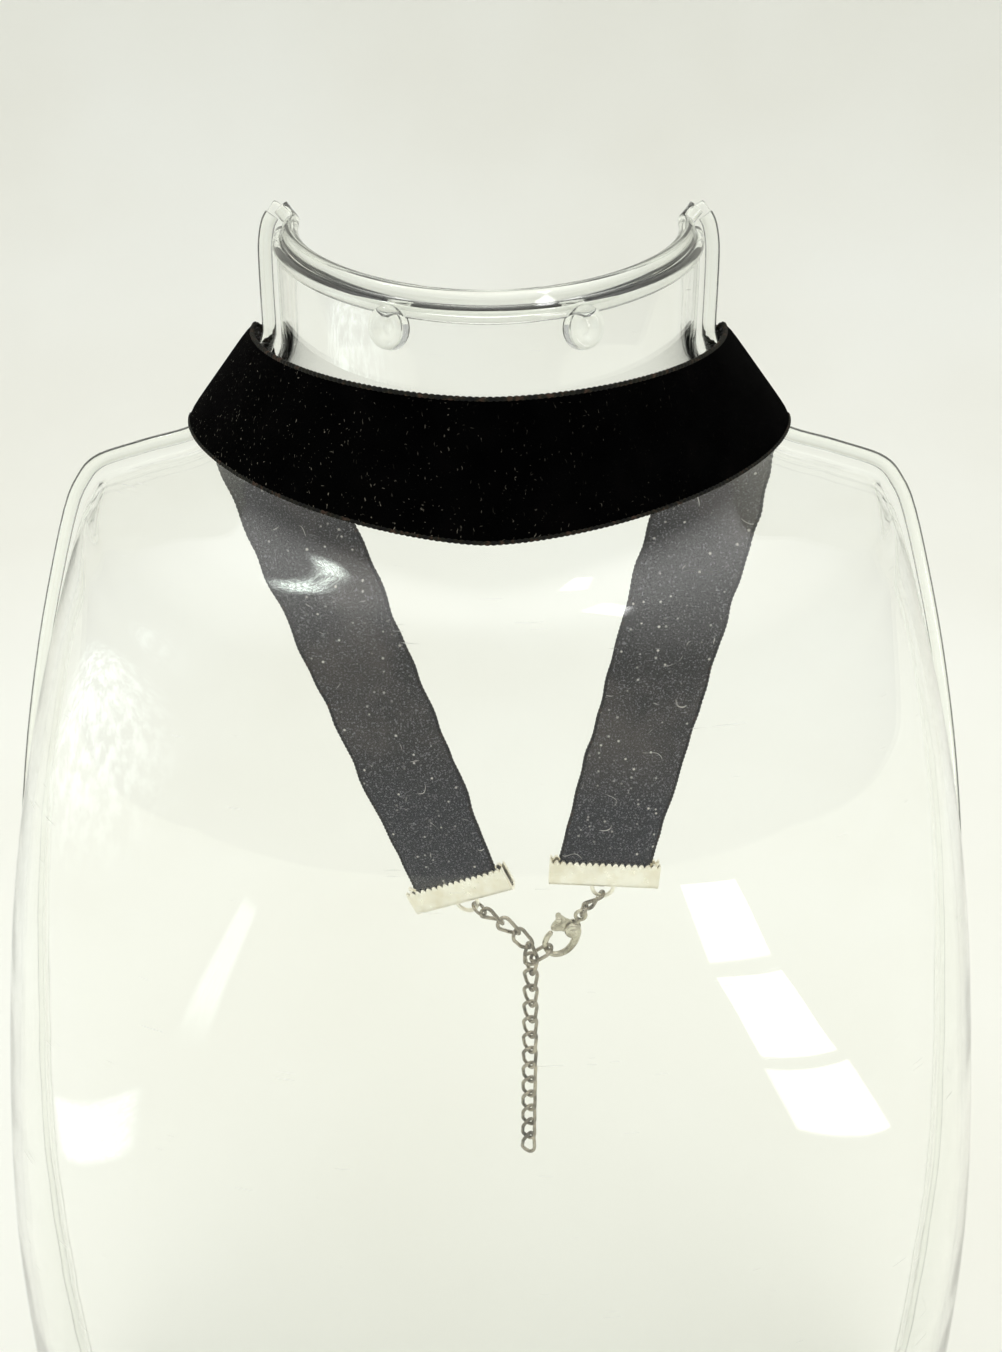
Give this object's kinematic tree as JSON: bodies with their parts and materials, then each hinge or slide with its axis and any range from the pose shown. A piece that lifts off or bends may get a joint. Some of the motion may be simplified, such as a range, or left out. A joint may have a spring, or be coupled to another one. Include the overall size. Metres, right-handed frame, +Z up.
{
  "type": "choker necklace on neck bust",
  "caption": "Black velvet ribbon choker with toothed metal end clamps, a lobster clasp and a hanging extender chain, worn by a clear half-shell neck bust that stands on its base.",
  "frame": {"origin": "centre of the bounding box in X and Y, on the floor under the bust's base rim", "axes": "+Z up along the neck, the longest extent; +X to the right of the picture; +Y towards the shell's open back and the clasp, the shortest extent"},
  "size_m": [0.213, 0.0728, 0.284],
  "materials": {
    "clear_plastic": "clear, polished",
    "velvet": "short black pile with a satin back",
    "nickel": "pale nickel plate, bright"
  },
  "bodies": {
    "necklace_on_bust": {"neck_bust": "clear_plastic", "velvet_ribbon": "velvet", "clamp_left": "nickel", "clamp_right": "nickel", "clasp_body": "nickel", "clasp_link": "nickel", "clasp_ring": "nickel", "link_1": "nickel", "link_2": "nickel", "link_3": "nickel", "link_4": "nickel", "link_hooked": "nickel", "ring_left": "nickel", "tail_1": "nickel", "tail_2": "nickel", "tail_3": "nickel", "tail_4": "nickel", "tail_5": "nickel", "tail_6": "nickel", "tail_7": "nickel", "tail_8": "nickel", "tail_9": "nickel", "tail_10": "nickel", "tail_11": "nickel", "tail_12": "nickel", "tail_13": "nickel"},
    "lever": {"clasp_lever": "nickel"}
  },
  "joints": [
    {"name": "lever_hinge", "type": "hinge", "parent": "necklace_on_bust", "child": "lever", "pos_m": [0.01666, 0.03317, 0.14782], "axis": [0, 1, 0], "range_deg": [0, 25], "stiffness_Nm_per_rad": 0.004, "springref_deg": -14.32}
  ]
}
